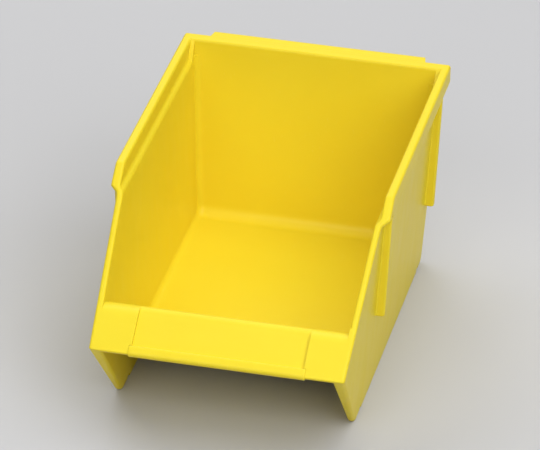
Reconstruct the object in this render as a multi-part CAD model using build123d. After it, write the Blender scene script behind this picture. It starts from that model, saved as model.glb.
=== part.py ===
from build123d import *
import math
import os

os.makedirs("parts", exist_ok=True)

# ---- driving dimensions, millimetres ---------------------------------------
# Frame: X across the bin, Y from the front lip to the hanging lip, Z up.
# Origin: centre of the footprint, on the surface the feet stand on.

rim_width = 100.0            # outside, across both stacking rims
rim_height = 78.7            # feet to the top of the rim
overall_depth = 164.7        # tip of the label ledge to the back of the hook
wall = 2.4                   # nominal wall thickness
side_draft = 0.056           # widening of each side per millimetre of height
back_draft = 0.060           # the same for the back wall
base_half_width = 43.33      # half the outside width at the feet
outer_radius = 1.1           # round on the outer edges
inner_radius = 0.9           # round on the inner edges of the sloping walls
back_thinning = 0.011        # the back wall thins by this towards its rim, per millimetre
corner_radius = 2.6          # round inside the side and back corners
cove_radius = 4.5            # round between the floor and the back wall

slope_angle = 38.33          # fall of the side walls towards the front lip, degrees
slope_length = 71.0          # knee to front lip, along the slope
lip_radius = 0.5
lip_land = 0.4               # narrow flat under the front lip

floor_top = 8.8
floor_thickness = 2.2
ramp_start = 50.6            # front lip to the point where the floor starts to climb

panel_start = 50.8           # knee to the top edge of the label panel, along the slope
panel_thickness = 3.8
panel_round = 6.0            # round along the top of the panel
label_half_width = 30.5
label_recess = 1.4
recess_bend = 2.6            # the recess follows the rounded top of the panel from here
recess_bend_radius = 4.0
recess_climb = 3.5
ledge_start = 67.6           # knee to the upper edge of the label ledge
ledge_end = 71.4
ledge_proud = 0.5
ledge_round = 1.2            # round along the lower edge of the ledge
ledge_root = 1.8             # how deep the ledge is set into the panel
ledge_half_width = 31.3

collar_low = 70.3            # underside of the rim, where it leaves the wall
collar_high = 71.7           # where it has reached its full width
collar_radius = 1.3
seat_height = 71.3           # inside the rim, where the wall starts to lean outwards
seat_rise = 1.1              # climb of the seat towards the upstanding rim
seat_radius = 2.0
seat_foot_round = 1.7        # hollow where the seat meets the upstanding rim
seat_end_round = 3.0         # hollow and lean of the seat's end at the back corners
seat_end_lean = 6.5
rim_lip = 3.4                # thickness of the upstanding rim
rim_round = 1.6              # round on its inner top edge
back_round = 1.5             # the same along the back rim
seat_back_gap = 9.5          # from the back of the rim to the end of the seat

back_overhang = 7.98         # the rim's back stands out this far beyond the foot of the back wall
hook_reach = 5.2             # how far the hanging lip stands behind the rim
hook_thickness = 2.0
hook_drop = 0.45             # the hanging lip lies this much below the rim
hook_low = 64.0
hook_half_width = 40.6
hook_end_taper = 1.3
hook_end_round = 1.2
hook_top_round = 1.6
hook_tip_round = 0.9         # outer round at the lip's lower edge, and inside its bend

leg_run = 31.7               # front lip to the toe of the front leg, lengthwise
toe_radius = 4.5
heel_radius = 3.0
leg_round = 1.1              # round along the inner edges of the front legs
rail_relief = 0.3            # the rails between the feet clear the ground by this
notch_height = 1.4           # small gap between each foot and its rail
notch_length = 3.2
back_relief = 1.4            # the back clears the ground by this, between the rear feet
skirt_inside = 40.8          # half the clear width between the skirts
front_foot_back = 42.5       # front lip to the front end of the rails
rear_foot_length = 9.5       # back wall to the rear end of the rails
foot_share = 3.0             # length of rail that belongs to each foot piece

front_rib_low = 31.4
rear_rib_low = 27.2
rib_thickness = 2.5
rib_draft = 0.035
rib_root = 1.2               # how far a rib is rooted in the wall, and in the rim above it
rib_shoulder = 1.5           # width of the rib's root in the rim
rib_foot_round = 0.6
rib_edge_round = 0.5
front_rib_offset = 1.1       # centre of the front rib ahead of the knee
rear_rib_offset = 14.0       # back of the rim to the centre of the rear rib

seam_height = 68.4           # upper edge of the plain walls, below the rim
cove_height = 4.6            # depth of the floor corner that belongs to the base
floor_half_width = 38.7      # flat part of the floor, inside its corner rounds
floor_back_gap = 6.4         # back wall to the flat part of the floor

# ---- derived positions --------------------------------------------------------

fall = math.radians(slope_angle)
half_depth = overall_depth / 2
tip_trim = ledge_round * (math.cos(fall) + math.sin(fall) - 1)
tip_run = ledge_end * math.cos(fall) + ledge_proud * math.sin(fall) - tip_trim
knee_y = -half_depth + tip_run
rim_back = half_depth - hook_reach
back_wall_base = rim_back - back_overhang
rim_half = rim_width / 2
front_lip_y = knee_y - slope_length * math.cos(fall)
front_lip_z = rim_height - slope_length * math.sin(fall)
rail_front = front_lip_y + front_foot_back
rail_back = back_wall_base - rear_foot_length
ramp_y = front_lip_y + ramp_start
floor_low = floor_top - floor_thickness
mitre_offset = back_wall_base - base_half_width + 0.2
ramp_tilt = math.atan2(front_lip_z - floor_low - lip_land, ramp_start - lip_land)
ramp_rise = Vector(-math.cos(ramp_tilt), math.sin(ramp_tilt))


def half_width(z):
    """Half the outside width of the drafted body at height z."""
    return base_half_width + side_draft * z


def back_outside(z):
    """Y of the outside of the back wall at height z."""
    return back_wall_base + back_draft * z


def slope_point(along, depth=0.0):
    """Point (y, z) on the slope: distance from the knee, and depth into the bin."""
    y = knee_y - along * math.cos(fall) + depth * math.sin(fall)
    z = rim_height - along * math.sin(fall) - depth * math.cos(fall)
    return y, z


# ---- helpers ------------------------------------------------------------------

def rounded_face(corners, place):
    """Flat face from (u, v, radius) corners; place turns (u, v) into a 3D point."""
    count = len(corners)
    turned = []
    for index in range(count):
        u, v, radius = corners[index]
        before = Vector(*corners[index - 1][:2])
        after = Vector(*corners[(index + 1) % count][:2])
        here = Vector(u, v)
        if radius == 0:
            turned.append((here, here, here))
            continue
        back = (before - here).normalized()
        ahead = (after - here).normalized()
        half = math.acos(max(-1.0, min(1.0, back.dot(ahead)))) / 2
        reach = radius / math.tan(half)
        middle = (back + ahead).normalized()
        crown = here + middle * (radius / math.sin(half) - radius)
        turned.append((here + back * reach, crown, here + ahead * reach))
    edges = []
    for index in range(count):
        entry, crown, leave = turned[index]
        last = turned[index - 1][2]
        edges.append(Edge.make_line(place(last), place(entry)))
        if (leave - entry).length > 1e-6:
            edges.append(Edge.make_three_point_arc(place(entry), place(crown), place(leave)))
    return Face(Wire(edges))


def across(corners, low, high):
    """Solid with a (y, z) outline, running along X from low to high."""
    face = rounded_face(corners, lambda p: Vector(low, p.X, p.Y))
    return Solid.extrude(face, Vector(high - low, 0, 0))


def along_bin(corners, low, high):
    """Solid with an (x, z) outline, running along Y from low to high."""
    face = rounded_face(corners, lambda p: Vector(p.X, low, p.Y))
    return Solid.extrude(face, Vector(0, high - low, 0))


def upright(corners, low, high):
    """Solid with an (x, y) outline, running along Z from low to high."""
    face = rounded_face(corners, lambda p: Vector(p.X, p.Y, low))
    return Solid.extrude(face, Vector(0, 0, high - low))


def block(x0, x1, y0, y1, z0, z1):
    """Plain box between two corners."""
    outline = [(x0, y0, 0), (x1, y0, 0), (x1, y1, 0), (x0, y1, 0)]
    return upright(outline, z0, z1)


# ---- the moulding ---------------------------------------------------------------

def outer_form():
    """Outside of the bin: side outline crossed with front outline, edges rounded."""
    side = [
        (front_lip_y, front_lip_z, lip_radius),
        (front_lip_y + leg_run, 0.0, toe_radius),
        (back_wall_base, 0.0, heel_radius),
        (back_outside(collar_low), collar_low, collar_radius),
        (rim_back, collar_high, collar_radius),
        (rim_back, rim_height, 0.0),
        (knee_y, rim_height, 2.5),
    ]
    right = [
        (half_width(0), 0.0, 0.0),
        (half_width(collar_low), collar_low, collar_radius),
        (rim_half, collar_high, collar_radius),
        (rim_half, rim_height, 0.0),
    ]
    left = [(-x, z, r) for x, z, r in reversed(right)]
    length = across(side, -rim_width, rim_width)
    width = along_bin(right + left, -overall_depth, overall_depth)
    form = length & width
    side_edges = form.edges().filter_by(lambda e: abs(e.tangent_at(0.5).X) < 0.99)
    form = form.fillet(outer_radius, side_edges)
    back_edge = form.edges().filter_by(Axis.X).sort_by(Axis.Z)[-2:].sort_by(Axis.Y)[-1]
    return form.fillet(0.8, [back_edge])


def line_meeting(point, direction, other_point, other_direction):
    """Where two lines in the (y, z) plane cross."""
    gap = other_point - point
    spread = direction.X * other_direction.Y - direction.Y * other_direction.X
    run = (gap.X * other_direction.Y - gap.Y * other_direction.X) / spread
    return point + direction * run


def cavity():
    """Space inside the bin, its bottom and back corners rounded."""
    panel_top = slope_point(panel_start, panel_thickness)
    above_panel = slope_point(panel_start, -20)
    panel_fall = Vector(-math.cos(fall), -math.sin(fall))
    ramp_foot = Vector(ramp_y, floor_top)
    lip = line_meeting(Vector(*panel_top), panel_fall, ramp_foot, ramp_rise)
    back_inside = back_wall_base - wall
    inner_draft = back_draft + back_thinning
    high = rim_height + 20
    side = [
        (panel_top[0], panel_top[1], 0),
        (lip.X, lip.Y, 1.4),
        (ramp_y, floor_top, 10.0),
        (back_inside + inner_draft * floor_top, floor_top, cove_radius),
        (back_inside + inner_draft * high, high, 0),
        (above_panel[0], high, 0),
        (above_panel[0], above_panel[1], 0),
    ]
    space = across(side, -rim_width, rim_width) & inside_width()
    corners = space.edges().filter_by(lambda e: abs(e.tangent_at(0.5).X) < 0.9)
    corners = corners.filter_by(lambda e: e.center().Z < high - 1)
    corners = corners.filter_by(lambda e: slope_depth(e.center()) > panel_thickness - 0.1)
    return space.fillet(corner_radius, corners)


def inside_width():
    """Drafted wedge between the inner faces of the side walls."""
    high = rim_height + 20
    right = [(half_width(-10) - wall, -10, 0), (half_width(high) - wall, high, 0)]
    left = [(-x, z, r) for x, z, r in reversed(right)]
    return along_bin(right + left, -overall_depth, overall_depth)


def slope_depth(point):
    """How far a point lies inside the sloped front plane."""
    return (point.Y - knee_y) * math.sin(fall) - (point.Z - rim_height) * math.cos(fall)


def sloped(corners, low, high):
    """Solid with an outline given as (along, depth, radius) on the slope."""
    outline = [(*slope_point(a, d), r) for a, d, r in corners]
    return across(outline, low, high)


def seat_space():
    """Room inside the upstanding rims, which stand further out than the walls."""
    foot = seat_height - 7
    inside_rim = rim_half - rim_lip
    right = [
        (half_width(foot) - wall, foot, 0),
        (half_width(seat_height) - wall, seat_height, seat_radius),
        (inside_rim, seat_height + seat_rise, seat_foot_round),
        (inside_rim, rim_height, rim_round),
        (rim_half + 6, rim_height + 2.5, 0),
        (rim_half + 6, rim_height + 9, 0),
    ]
    left = [(-x, z, r) for x, z, r in reversed(right)]
    room = along_bin(right + left, -overall_depth, overall_depth)
    end = rim_back - seat_back_gap
    reach = [
        (-overall_depth, foot - 1, 0),
        (end, foot - 1, 0),
        (end, seat_height, seat_end_round),
        (end + seat_end_lean, rim_height + 2, 0),
        (end + seat_end_lean, rim_height + 9, 0),
        (-overall_depth, rim_height + 9, 0),
    ]
    return room & across(reach, -rim_width, rim_width)


def underside_space():
    """Hollow under the floor and the ramp, open towards the front."""
    bend = ramp_y - floor_thickness * math.tan(ramp_tilt / 2)
    lip_run = bend - front_lip_y - lip_land
    lip_low = floor_low + lip_run * math.tan(ramp_tilt)
    outline = [
        (bend - lip_run, lip_low, 0),
        (bend, floor_low, 10.0),
        (back_wall_base - wall, floor_low, 0.8),
        (back_wall_base - wall, -5, 0),
        (-overall_depth, -5, 0),
        (-overall_depth, lip_low, 0),
    ]
    return across(outline, -skirt_inside, skirt_inside)


def foot_relief_space():
    """Clearance between the front and rear feet, and under the back."""
    front = rail_front - notch_length
    back = rail_back + notch_length
    rails = block(-rim_half, rim_half, front, back, -5, notch_height)
    return rails + block(-skirt_inside, skirt_inside, back - 1, rim_back, -5, back_relief)


def rail(side):
    """Square edged strip that fills most of the gap between two feet."""
    outline = [
        (side * skirt_inside, rail_relief, 0),
        (side * half_width(rail_relief), rail_relief, 0),
        (side * half_width(notch_height), notch_height, 0),
        (side * skirt_inside, notch_height, 0),
    ]
    return along_bin(outline, rail_front, rail_back)


def leg_edges(form):
    """Inner edges of the front legs, from the lip down to the toe and along the foot."""
    chosen = []
    for edge in form.edges():
        centre = edge.center()
        inside = abs(abs(centre.X) - skirt_inside) < 0.01 and abs(edge.tangent_at(0.5).X) < 0.1
        ahead = (centre.Y - front_lip_y) / leg_run + centre.Z / front_lip_z - 1
        on_front = ahead < 0.01 or (centre.Z < toe_radius / 2 and centre.Y < rail_front - toe_radius)
        if inside and (on_front or centre.Z < 0.01) and centre.Y < rail_front:
            chosen.append(edge)
    return chosen


def label_space():
    """Recess for a label, with the slot its ledge sits in."""
    face = [
        (panel_start - 3, -3, 0),
        (ledge_start, -3, 0),
        (ledge_start, label_recess, 0),
        (panel_start + recess_bend, label_recess, recess_bend_radius),
        (panel_start - 3, label_recess + recess_climb, 0),
    ]
    slot = [
        (ledge_start, -3, 0),
        (slope_length + 4, -3, 0),
        (slope_length + 4, ledge_root, 0),
        (ledge_start, ledge_root, 0),
    ]
    recess = sloped(face, -label_half_width, label_half_width)
    return recess + sloped(slot, -ledge_half_width, ledge_half_width)


def open_edges(form):
    """Inner edges along the tops of the sloping walls."""
    chosen = []
    for edge in form.edges():
        centre = edge.center()
        along_bin_edge = abs(edge.tangent_at(0.5).X) < 0.9
        at_inner_face = abs(abs(centre.X) - half_width(centre.Z) + wall) < 0.1
        if along_bin_edge and at_inner_face and abs(slope_depth(centre)) < 0.05:
            chosen.append(edge)
    return chosen


def back_flare():
    """Cutter that rounds the inner top edge of the back rim."""
    low = rim_height - 6
    inner_draft = back_draft + back_thinning
    face = back_wall_base - wall + inner_draft * low
    corner = face + inner_draft * 6
    outline = [
        (face, low, 0),
        (corner, rim_height, back_round),
        (corner + 9, rim_height + 2.5, 0),
        (corner + 9, rim_height + 9, 0),
        (face - 5, rim_height + 9, 0),
        (face - 5, low, 0),
    ]
    return across(outline, -rim_width, rim_width) & inside_width()


def edge_round(depth, towards, radius):
    """Cutter that rounds one top edge of the label panel."""
    centre = depth + towards * radius
    outline = [
        (panel_start - 1, depth - towards, 0),
        (panel_start + radius, depth - towards, 0),
        (panel_start + radius, centre, 0),
        (panel_start - 1, centre, 0),
    ]
    y, z = slope_point(panel_start + radius, centre)
    axis = Plane(origin=(-rim_width, y, z), x_dir=(0, 1, 0), z_dir=(1, 0, 0))
    roller = Solid.make_cylinder(radius, 2 * rim_width, axis)
    return (sloped(outline, -rim_half, rim_half) - roller) & inside_width()


def moulding():
    """The whole bin, without its ribs, label ledge and hanging lip."""
    form = outer_form() - cavity()
    form = form - seat_space()
    form = form.fillet(inner_radius, open_edges(form))
    form = form - back_flare()
    form = form - edge_round(0, 1, panel_round)
    form = form - edge_round(panel_thickness, -1, 0.8)
    form = form - underside_space()
    form = form - foot_relief_space()
    form = form.fillet(leg_round, leg_edges(form))
    form = form + rail(-1) + rail(1)
    return form - label_space()


# ---- features added to the moulding ---------------------------------------------

def hanging_profile():
    """Inverted hook behind the rim, seen from the side and from above."""
    top = rim_height - hook_drop
    low = top - hook_thickness
    side = [
        (rim_back - 0.4, low, 0),
        (half_depth - hook_thickness, low, hook_tip_round),
        (half_depth - hook_thickness, hook_low, 0.7),
        (half_depth, hook_low, hook_tip_round),
        (half_depth, top, hook_top_round),
        (rim_back - 0.4, top, 0),
    ]
    narrow = hook_half_width - hook_end_taper
    plan = [
        (hook_half_width, rim_back - 1, 0),
        (narrow, half_depth, hook_end_round),
        (-narrow, half_depth, hook_end_round),
        (-hook_half_width, rim_back - 1, 0),
    ]
    return across(side, -rim_half, rim_half) & upright(plan, 0, rim_height + 5)


def guide_rib(side, centre, low):
    """Thin blade below the rim; side is -1 for left and 1 for right."""
    top = collar_high + rib_root
    reach_high = rim_half - 0.1
    reach_low = reach_high - rib_draft * (collar_high - low)
    outline = [
        (side * (half_width(low) - rib_root), low, 0),
        (side * reach_low, low, rib_foot_round),
        (side * reach_high, top, 0),
        (side * (reach_high - rib_shoulder), top, 0),
        (side * (half_width(collar_low) - rib_root), collar_low - rib_foot_round, 0),
    ]
    blade = along_bin(outline, centre - rib_thickness / 2, centre + rib_thickness / 2)
    long_edges = blade.edges().filter_by(lambda e: e.length > 30)
    outer = long_edges.sort_by(lambda e: abs(e.center().X))[-2:]
    return blade.fillet(rib_edge_round, outer)


def label_ledge():
    """Low bar that holds the foot of a label."""
    outline = [
        (ledge_start, -ledge_proud, 0.9),
        (ledge_end, -ledge_proud, ledge_round),
        (ledge_end, ledge_root, 0),
        (ledge_start, ledge_root, 0),
    ]
    return sloped(outline, -ledge_half_width, ledge_half_width)


# ---- dividing the moulding into its named features -----------------------------

def panel_zone():
    """Everything of the label panel between the side walls."""
    outline = [(40, -6, 0), (90, -6, 0), (90, panel_thickness, 0), (40, panel_thickness, 0)]
    return sloped(outline, -rim_half, rim_half) & inside_width()


def base_zone():
    """Everything below the floor's corner rounds."""
    far = overall_depth
    bend = ramp_y + cove_height * math.tan(ramp_tilt / 2)
    height = floor_top + cove_height
    rise = (far + bend) * math.tan(ramp_tilt)
    outline = [(-far, height + rise, 0), (bend, height, 0), (far, height, 0)]
    outline = outline + [(far, -9, 0), (-far, -9, 0)]
    return across(outline, -rim_width, rim_width)


def back_zone():
    """Everything behind the 45 degree cuts through the back corners."""
    far = overall_depth
    outline = [(0, mitre_offset, 0), (far, mitre_offset + far, 0), (-far, mitre_offset + far, 0)]
    return upright(outline, -9, rim_height + 9)


def slab(y0, y1):
    """Full slice of the bin between two depths."""
    return block(-rim_width, rim_width, y0, y1, -9, rim_height + 9)


def half(side):
    """One side of the bin, from the middle outwards."""
    low, high = sorted((0, side * rim_width))
    return block(low, high, -overall_depth, overall_depth, -9, rim_height + 9)


def outside(side, offset):
    """Everything further out than an offset, on one side."""
    low, high = sorted((side * offset, side * rim_width))
    return block(low, high, -overall_depth, overall_depth, -9, rim_height + 9)


def split(form, zone):
    """The share of a form inside a zone, and the rest."""
    return form & zone, form - zone


def save(name, form):
    """Write one named piece."""
    solids = form.solids()
    if len(solids) != 1:
        print("check", name, [round(s.volume, 3) for s in solids])
    piece = max(solids, key=lambda s: s.volume)
    piece.label = name
    export_step(piece, f"parts/{name}.step")
    saved[name] = piece


saved = {}
far = overall_depth
sides = {"left": -1, "right": 1}
whole = moulding()

for name, side in sides.items():
    for place, centre, low in (
        ("front", knee_y - front_rib_offset, front_rib_low),
        ("rear", rim_back - rear_rib_offset, rear_rib_low),
    ):
        save(f"{name}_{place}_guide_rib", guide_rib(side, centre, low) - whole)

hanger = hanging_profile() - whole
hook, shelf = split(hanger, slab(half_depth - hook_thickness, far))
save("hanging_hook", hook)
save("hanging_shelf", shelf)
save("label_ledge", label_ledge())

panel, rest = split(whole, panel_zone())
for name, side in sides.items():
    end, panel = split(panel, outside(side, label_half_width))
    save(f"{name}_label_end_block", end)
save("label_panel", panel)

base, rest = split(rest, base_zone())
for name, side in sides.items():
    skirt, base = split(base, outside(side, floor_half_width))
    leg, skirt = split(skirt, slab(-far, rail_front + foot_share))
    foot, strip = split(skirt, slab(rail_back - foot_share, far))
    save(f"{name}_front_leg", leg)
    save(f"{name}_rear_foot", foot)
    save(f"{name}_base_rail", strip)
ramp, base = split(base, slab(-far, ramp_y))
skirt, floor = split(base, slab(back_wall_base - floor_back_gap, far))
save("front_ramp", ramp)
save("rear_skirt", skirt)
save("floor_panel", floor)

rims, walls = split(rest, block(-far, far, -far, far, seam_height, rim_height + 9))
back_rim, rims = split(rims, back_zone())
back_wall, walls = split(walls, back_zone())
save("back_rim", back_rim)
save("back_wall", back_wall)
for name, side in sides.items():
    save(f"{name}_stacking_rim", rims & half(side))
    save(f"{name}_side_wall", walls & half(side))

print(len(saved), "pieces, total volume", round(sum(p.volume for p in saved.values())), "mm3")
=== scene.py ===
import math
import bpy
import numpy as np
from mathutils import Matrix, Vector


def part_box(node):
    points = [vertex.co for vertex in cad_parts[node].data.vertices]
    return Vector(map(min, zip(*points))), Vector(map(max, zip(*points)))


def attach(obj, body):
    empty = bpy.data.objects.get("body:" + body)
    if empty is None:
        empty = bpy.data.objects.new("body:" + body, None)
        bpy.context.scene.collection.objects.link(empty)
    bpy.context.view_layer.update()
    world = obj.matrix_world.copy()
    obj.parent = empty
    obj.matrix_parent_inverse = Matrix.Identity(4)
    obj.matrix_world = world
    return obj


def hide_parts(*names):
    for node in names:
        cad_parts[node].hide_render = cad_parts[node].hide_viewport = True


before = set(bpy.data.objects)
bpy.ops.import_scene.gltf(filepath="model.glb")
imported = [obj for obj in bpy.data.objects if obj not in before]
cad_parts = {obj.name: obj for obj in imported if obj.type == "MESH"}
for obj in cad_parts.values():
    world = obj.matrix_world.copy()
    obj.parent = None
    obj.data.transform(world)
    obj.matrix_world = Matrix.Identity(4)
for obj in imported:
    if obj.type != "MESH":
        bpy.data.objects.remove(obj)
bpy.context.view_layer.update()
print("frame loaded:", len(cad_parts), "nodes")

# camera: three quarter view from the front, a little to the right
camera = {
    "turn": 12.0,        # degrees round to the right of the front
    "height": 29.08,     # degrees above the horizon
    "roll": 1.52,
    "lens": 333.3,       # mm
    "sensor": 36,        # mm
    "distance": 1.8157,
    "aim": (-0.0055, 0.02747, 0.0304),
    "reach": 20,         # how far the camera sees
}

def aimCamera(values):
    turn, height, roll = [math.radians(values[key]) for key in ("turn", "height", "roll")]
    level = math.cos(height)
    forward = Vector((-math.sin(turn) * level, math.cos(turn) * level, -math.sin(height)))
    right = Vector((math.cos(turn), math.sin(turn), 0))
    up = right.cross(forward)
    rightRolled = math.cos(roll) * right + math.sin(roll) * up
    upRolled = math.cos(roll) * up - math.sin(roll) * right
    lens = bpy.data.cameras.new("studioCamera")
    lens.lens = values["lens"]
    lens.sensor_width = values["sensor"]
    lens.clip_end = values["reach"]
    view = bpy.data.objects.new("studioCamera", lens)
    bpy.context.scene.collection.objects.link(view)
    axes = Matrix((rightRolled, upRolled, -forward)).transposed().to_4x4()
    place = Vector(values["aim"]) - forward * values["distance"]
    view.matrix_world = Matrix.Translation(place) @ axes
    bpy.context.scene.camera = view

aimCamera(camera)
print("camera set")

# moulded polypropylene: one recipe, three finishes
bodyFinish = {
    "colour": (0.800, 0.640, 0.028),
    "deepColour": (0.780, 0.608, 0.022),
    "scuffColour": (0.88, 0.75, 0.16),
    "clouds": 22,                  # cloudy pigment, repeats per metre
    "flow": (9, 26, 9),            # faint bands across the bin, left by the melt as it ran along it
    "flowShare": 0.5,              # how strongly those bands show
    "scratches": (900, 60, 240),   # fine marks of handling, longest along the bin
    "scuffs": (-2.2, 0.20),        # 0 and less is clean, 1 is scuffed right through
    "scuffDulling": 0.35,
    "roughness": (0.34, 0.43),
    "grain": 2300,
    "grainDepth": 0.000022,
    "sag": 34,                     # slow waviness of a cooled sheet
    "sagDepth": 0.00022,
    "shader": {
        "IOR": 1.45,
        "Specular IOR Level": 0.22,
        "Subsurface Weight": 0.06,
        "Subsurface Radius": (1.0, 0.6, 0.1),
        "Subsurface Scale": 0.0016,
    },
}
labelFinish = dict(bodyFinish, roughness=(0.40, 0.50), grain=3200, grainDepth=0.000030, scuffs=(-2.2, 0.08))
trimFinish = dict(bodyFinish, roughness=(0.30, 0.38), grainDepth=0.000016, scuffs=(-2.2, 0.28))

def setSockets(node, values):
    for name, value in values.items():
        node.inputs[name].default_value = value
    return node

def spread(tree, source, low, high):
    # a noise pattern mostly lies from 0.3 to 0.7: stretch that over low to high
    node = setSockets(tree.nodes.new("ShaderNodeMapRange"),
                      {"From Min": 0.3, "From Max": 0.7, "To Min": low, "To Max": high})
    tree.links.new(source, node.inputs["Value"])
    return node.outputs["Result"]

def drawnOut(tree, coordinates, scale):
    node = setSockets(tree.nodes.new("ShaderNodeMapping"), {"Scale": scale})
    tree.links.new(coordinates, node.inputs["Vector"])
    return node.outputs["Vector"]

def noise(tree, coordinates, scale, detail, roughness=0.5):
    node = setSockets(tree.nodes.new("ShaderNodeTexNoise"),
                      {"Scale": scale, "Detail": detail, "Roughness": roughness})
    tree.links.new(coordinates, node.inputs["Vector"])
    return node.outputs["Fac"]

def mixColours(tree, factor, first, second):
    node = tree.nodes.new("ShaderNodeMix")
    node.data_type = "RGBA"
    tree.links.new(factor, node.inputs["Factor"])
    for socket, colour in ((node.inputs["A"], first), (node.inputs["B"], second)):
        if isinstance(colour, tuple):
            socket.default_value = (*colour, 1)
        else:
            tree.links.new(colour, socket)
    return node.outputs["Result"]

def bump(tree, height, depth, strength, under=None):
    node = setSockets(tree.nodes.new("ShaderNodeBump"), {"Strength": strength, "Distance": depth})
    tree.links.new(height, node.inputs["Height"])
    if under is not None:
        tree.links.new(under, node.inputs["Normal"])
    return node.outputs["Normal"]

def mouldedPlastic(name, values):
    material = bpy.data.materials.new(name)
    material.use_nodes = True
    tree = material.node_tree
    shader = tree.nodes["Principled BSDF"]
    place = tree.nodes.new("ShaderNodeTexCoord").outputs["Object"]
    clouds = noise(tree, place, values["clouds"], detail=4)
    flow = noise(tree, drawnOut(tree, place, values["flow"]), scale=5, detail=5, roughness=0.6)
    scratches = noise(tree, drawnOut(tree, place, values["scratches"]), scale=2, detail=3, roughness=0.7)
    clamp = tree.nodes.new("ShaderNodeClamp")
    tree.links.new(spread(tree, scratches, *values["scuffs"]), clamp.inputs["Value"])
    scuffed = clamp.outputs["Result"]
    # colour: clouds and flow bands in the pigment, a trace of pale scuffing on top
    pigment = mixColours(tree, spread(tree, clouds, 0, 1), values["deepColour"], values["colour"])
    pigment = mixColours(tree, spread(tree, flow, 0, values["flowShare"]), pigment, values["colour"])
    pigment = mixColours(tree, scuffed, pigment, values["scuffColour"])
    tree.links.new(pigment, shader.inputs["Base Color"])
    # gloss: drifts with the flow, duller where scuffed
    dull = tree.nodes.new("ShaderNodeMath")
    dull.operation = "MULTIPLY_ADD"
    tree.links.new(scuffed, dull.inputs[0])
    dull.inputs[1].default_value = values["scuffDulling"]
    tree.links.new(spread(tree, flow, *values["roughness"]), dull.inputs[2])
    tree.links.new(dull.outputs["Value"], shader.inputs["Roughness"])
    # surface: the slow sag of the sheet, then the fine grain of the mould
    waves = noise(tree, place, values["sag"], detail=1)
    pits = noise(tree, place, values["grain"], detail=3, roughness=0.6)
    sag = bump(tree, waves, values["sagDepth"], strength=0.5)
    grain = bump(tree, pits, values["grainDepth"], strength=0.6, under=sag)
    tree.links.new(grain, shader.inputs["Normal"])
    setSockets(shader, values["shader"])
    return material

bodyPlastic = mouldedPlastic("bodyPlastic", bodyFinish)
labelPlastic = mouldedPlastic("labelPlastic", labelFinish)
trimPlastic = mouldedPlastic("trimPlastic", trimFinish)
for nodeName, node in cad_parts.items():
    node.data.materials.clear()
    node.data.materials.append(labelPlastic if nodeName == "label_panel" else bodyPlastic)
print("plastic on", len(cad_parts), "nodes")

# outlines and surfaces
def roundedOutline(corners, steps=10):
    # each corner (u, v, radius) becomes an arc that touches both its sides: its centre lies on the
    # bisector, the radius over the sine of the half angle away, and the arm from that centre
    # swings evenly from one touching point to the other
    points = np.array([corner[:2] for corner in corners], float)
    radii = np.array([corner[2] for corner in corners], float)
    back = np.roll(points, 1, axis=0) - points
    ahead = np.roll(points, -1, axis=0) - points
    back /= np.linalg.norm(back, axis=1)[:, None]
    ahead /= np.linalg.norm(ahead, axis=1)[:, None]
    half = np.arccos(np.clip((back * ahead).sum(1), -1, 1)) / 2
    middle = (back + ahead) / np.linalg.norm(back + ahead, axis=1)[:, None]
    centre = points + middle * (radii / np.sin(half))[:, None]
    start = back * (radii / np.tan(half))[:, None] + points - centre
    end = ahead * (radii / np.tan(half))[:, None] + points - centre
    share = np.linspace(0, 1, steps)[None, :, None]
    turn = (math.pi - 2 * half)[:, None, None]
    arc = np.sin((1 - share) * turn) * start[:, None] + np.sin(share * turn) * end[:, None]
    arc /= np.sin(turn)
    return (centre[:, None] + arc).reshape(-1, 2)

def outlineNormals(outline):
    # unit normals, a quarter turn from the line between both neighbours
    run = np.roll(outline, -1, axis=0) - np.roll(outline, 1, axis=0)
    run /= np.linalg.norm(run, axis=1)[:, None]
    return np.stack([run[:, 1], -run[:, 0]], axis=1)

def stations(low, high, radius, endSteps=8, middleSteps=40, highEnd=True):
    # positions along a path, crowded at the rounded ends, and how far each draws in:
    # radius less the height of a quarter circle; the high end may stay square
    turn = np.linspace(0, math.pi / 2, endSteps)
    along = radius * (1 - np.cos(turn))
    inset = radius * (1 - np.sin(turn))
    middle = np.linspace(low + radius, high - radius, middleSteps)[1:-1]
    if highEnd:
        highPart, highInset = high - along[::-1], inset[::-1]
    else:
        highPart, highInset = np.linspace(high - radius, high, endSteps), np.zeros(endSteps)
    positions = np.concatenate([low + along, middle, highPart])
    return positions, np.concatenate([inset, np.zeros(len(middle)), highInset])

def closedMesh(name, grid, sharpAngle=35):
    # grid[row, column] with columns that run round, a fan to close each end, and the faces
    # turned outwards where the signed volume comes out negative
    rows, columns = grid.shape[:2]
    row, column = np.meshgrid(np.arange(rows - 1), np.arange(columns), indexing="ij")
    beside = (column + 1) % columns
    quads = np.stack([row * columns + column, row * columns + beside,
                      (row + 1) * columns + beside, (row + 1) * columns + column], axis=-1).reshape(-1, 4)
    ring = np.arange(columns)
    nextRing = (ring + 1) % columns
    top = (rows - 1) * columns
    first = np.full(columns, rows * columns)
    fans = np.concatenate([np.stack([first, nextRing, ring], axis=1),
                           np.stack([first + 1, top + ring, top + nextRing], axis=1)])
    points = np.concatenate([grid.reshape(-1, 3), grid[:1].mean(axis=1), grid[-1:].mean(axis=1)])
    triangles = np.concatenate([quads[:, [0, 1, 2]], quads[:, [0, 2, 3]], fans])
    corners = points[triangles]
    volume = np.einsum("ij,ij->i", corners[:, 0], np.cross(corners[:, 1], corners[:, 2])).sum()
    if volume < 0:
        quads, fans = quads[:, ::-1], fans[:, ::-1]
    mesh = bpy.data.meshes.new(name)
    mesh.from_pydata(points.tolist(), [], quads.tolist() + fans.tolist())
    mesh.polygons.foreach_set("use_smooth", np.ones(len(mesh.polygons), dtype=bool))
    mesh.set_sharp_from_angle(angle=math.radians(sharpAngle))
    mesh.update()
    return mesh

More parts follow.
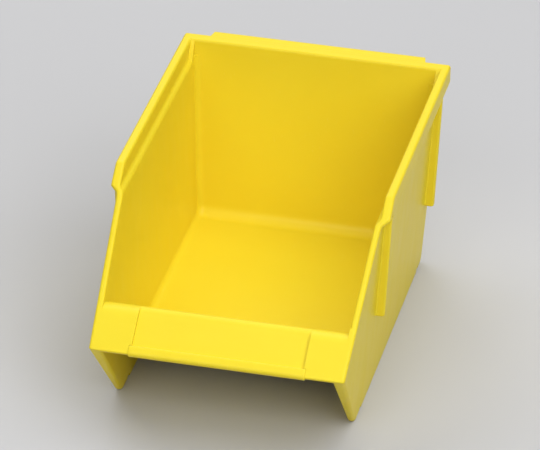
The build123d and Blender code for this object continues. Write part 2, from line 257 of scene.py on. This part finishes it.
def addPiece(name, mesh, material, nodeName):
    piece = bpy.data.objects.new(name, mesh)
    bpy.context.scene.collection.objects.link(piece)
    mesh.materials.append(material)
    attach(piece, "root")
    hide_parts(nodeName)

# side guide ribs: a blade with a rounded nose and a soft root where it grows out of the wall
rib = {
    "rootRadius": 0.0007,
    "noseRadius": 0.0008,
    "endRadius": 0.0007,
    "endTaper": 0.5,         # the blade also narrows by this share of its end round
    "wallLean": 0.056,       # outwards per unit of height
    "noseLean": 0.035,
    "sunk": 0.0005,          # how far the root reaches into the wall
    "topTrim": 0.0007,       # the upper end stops inside the rim
    "flareSteps": 9,
    "noseSteps": 17,
}

def ribSurface(nodeName, side):
    # section: flare at the root, straight flanks, half round nose; carried up the wall,
    # with the wall and the nose each at its own lean
    low, high = [np.array(corner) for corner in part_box(nodeName)]
    middle = (low[1] + high[1]) / 2
    thick = (high[1] - low[1]) / 2
    outer = max(abs(low[0]), abs(high[0]))
    inner = min(abs(low[0]), abs(high[0]))
    heights, inset = stations(low[2], high[2] - rib["topTrim"], rib["endRadius"], highEnd=False)
    turn = np.linspace(math.pi / 2, 0, rib["flareSteps"])
    flareOut = rib["rootRadius"] * (1 - np.sin(turn))
    flareWide = thick + rib["rootRadius"] * (1 - np.cos(turn))
    nose = np.linspace(math.pi / 2, -math.pi / 2, rib["noseSteps"])
    noseX = rib["noseRadius"] * (np.cos(nose) - 1)
    noseY = thick - rib["noseRadius"] + rib["noseRadius"] * np.abs(np.sin(nose))
    noseY = np.where(nose >= 0, 1, -1) * noseY
    widths = np.concatenate([flareWide[:1], flareWide])
    rootX = np.concatenate([[-rib["sunk"]], flareOut])
    section = np.concatenate([rootX, noseX, rootX[::-1]])
    sideways = np.concatenate([widths, noseY, -widths[::-1]])
    atNose = np.concatenate([np.zeros(len(rootX)), np.ones(len(noseX)), np.zeros(len(rootX))])
    wallX = inner + rib["wallLean"] * (heights - low[2])
    tipX = outer - rib["noseLean"] * (high[2] - rib["topTrim"] - heights)
    x = np.where(atNose[None] > 0, tipX[:, None] - inset[:, None], wallX[:, None]) + section[None]
    y = sideways[None] * (1 - inset[:, None] / thick * rib["endTaper"])
    z = np.broadcast_to(heights[:, None], x.shape)
    return np.stack([side * x, middle + y, z], axis=-1)

for sideName, side in (("left", -1), ("right", 1)):
    for placeName in ("front", "rear"):
        nodeName = sideName + "_" + placeName + "_guide_rib"
        ribMesh = closedMesh(nodeName, ribSurface(nodeName, side))
        addPiece(sideName + placeName.capitalize() + "GuideRib", ribMesh, trimPlastic, nodeName)
print("guide ribs built")

# label ledge: a low bar with eased edges and ends, let into the foot of the label panel
ledge = {
    "fall": 38.33,           # slope of the front, degrees
    "length": 0.0038,        # down the slope
    "depth": 0.0023,         # into the panel
    "upperRadius": 0.0009,
    "lowerRadius": 0.0012,
    "hiddenRadius": 0.0005,
    "endRadius": 0.0004,
}

def ledgeSurface(nodeName):
    # one rounded outline, drawn in by a quarter circle at both ends, carried across the bin
    low, high = [np.array(corner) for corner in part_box(nodeName)]
    outline = roundedOutline([
        (0, 0, ledge["upperRadius"]),
        (ledge["length"], 0, ledge["lowerRadius"]),
        (ledge["length"], ledge["depth"], ledge["hiddenRadius"]),
        (0, ledge["depth"], ledge["hiddenRadius"]),
    ])
    across, inset = stations(low[0], high[0], ledge["endRadius"])
    inward = outline.mean(axis=0) - outline
    normals = outlineNormals(outline)
    normals *= np.sign((normals * inward).sum(1))[:, None]
    section = outline[None] + normals[None] * inset[:, None, None]
    fall = math.radians(ledge["fall"])
    y = section[..., 1] * math.sin(fall) - section[..., 0] * math.cos(fall)
    z = -section[..., 0] * math.sin(fall) - section[..., 1] * math.cos(fall)
    y += low[1] - y.min()
    z += high[2] - z.max()
    x = np.broadcast_to(across[:, None], y.shape)
    return np.stack([x, y, z], axis=-1)

ledgeMesh = closedMesh("labelLedge", ledgeSurface("label_ledge"))
addPiece("labelLedge", ledgeMesh, trimPlastic, "label_ledge")
print("label ledge built")

# studio: a plain pale floor and five soft boxes
studio = {
    "floorSize": 6,
    "floorColour": (0.50, 0.50, 0.51),
    "floorPatch": (0.48, 0.48, 0.49),
    "floorRoughness": 0.85,
    "aim": (0, 0, 0.04),     # all the boxes face the middle of the bin
    "boxes": {               # place, width and depth, watts
        "topLight": ((0.5, -0.1, 1.4), (1.5, 1.5), 15.5),
        "keyLight": ((-0.7, 0.6, 1.0), (1.1, 1.1), 8.5),
        "backLight": ((0.0, 1.0, 0.9), (1.2, 0.8), 3.5),
        "frontLight": ((-0.1, -1.2, 0.9), (1.0, 0.8), 7.5),
        "rightLight": ((0.75, -0.9, 0.85), (0.9, 0.9), 8.5),
    },
    "skyColour": (1, 1, 1),
    "skyPower": 0.03,
}

def layFloor(values):
    half = values["floorSize"] / 2
    mesh = bpy.data.meshes.new("studioFloor")
    corners = [(-half, -half, 0), (half, -half, 0), (half, half, 0), (-half, half, 0)]
    mesh.from_pydata(corners, [], [(0, 1, 2, 3)])
    floor = bpy.data.objects.new("studioFloor", mesh)
    bpy.context.scene.collection.objects.link(floor)
    material = bpy.data.materials.new("paleFloor")
    material.use_nodes = True
    tree = material.node_tree
    shader = tree.nodes["Principled BSDF"]
    place = tree.nodes.new("ShaderNodeTexCoord").outputs["Object"]
    patches = noise(tree, place, scale=3, detail=3)
    tone = mixColours(tree, patches, values["floorColour"], values["floorPatch"])
    tree.links.new(tone, shader.inputs["Base Color"])
    shader.inputs["Roughness"].default_value = values["floorRoughness"]
    mesh.materials.append(material)

def softBox(name, place, size, power, aim):
    light = bpy.data.lights.new(name, "AREA")
    light.shape = "RECTANGLE"
    light.size, light.size_y = size
    light.energy = power
    holder = bpy.data.objects.new(name, light)
    bpy.context.scene.collection.objects.link(holder)
    holder.location = place
    holder.rotation_euler = (Vector(aim) - Vector(place)).to_track_quat("-Z", "Y").to_euler()

layFloor(studio)
for boxName, (place, size, power) in studio["boxes"].items():
    softBox(boxName, place, size, power, studio["aim"])
world = bpy.data.worlds.new("studio")
world.use_nodes = True
sky = {"Color": (*studio["skyColour"], 1), "Strength": studio["skyPower"]}
setSockets(world.node_tree.nodes["Background"], sky)
bpy.context.scene.world = world
bpy.context.scene.view_settings.view_transform = "Standard"
print("studio lit")
